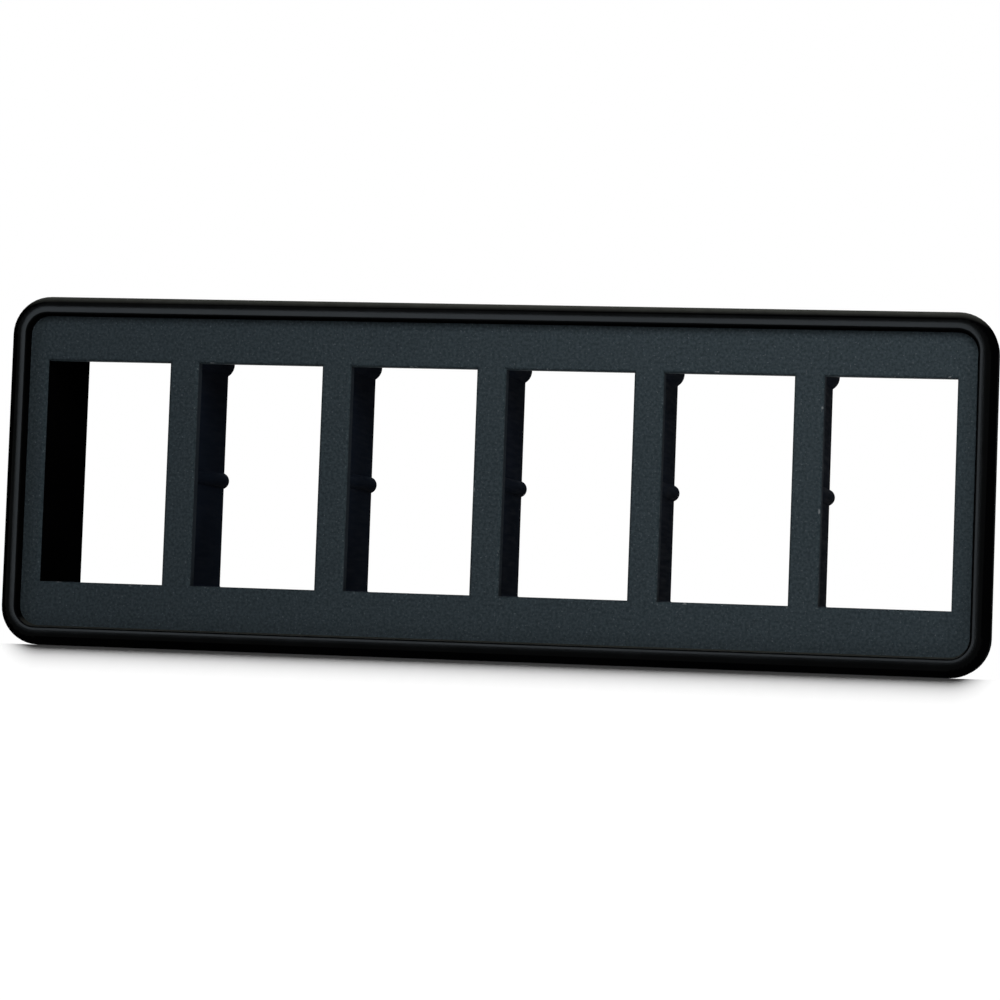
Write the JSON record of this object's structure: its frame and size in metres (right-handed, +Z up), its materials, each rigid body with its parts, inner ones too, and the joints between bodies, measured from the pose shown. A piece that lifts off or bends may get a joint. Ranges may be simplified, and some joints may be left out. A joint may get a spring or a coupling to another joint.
{
  "type": "switch frame",
  "caption": "Long rectangular moulded frame with a raised rounded rim, a recessed grained face and a row of openings for snap-in rocker switches, divided behind by ribbed walls.",
  "frame": {"origin": "centre of the panel cut-out, on the panel's front face, which the rear edge of the skirt sits on", "axes": "+X to the viewer's right along the row of openings, +Y back into the panel so that the front faces -Y, +Z up"},
  "size_m": [0.1636, 0.0244, 0.058],
  "materials": {
    "black_plastic": "black moulded plastic with a fine grain on the recessed face and a smoother rim"
  },
  "bodies": {
    "root": {"switch_frame": "black_plastic"}
  },
  "joints": []
}
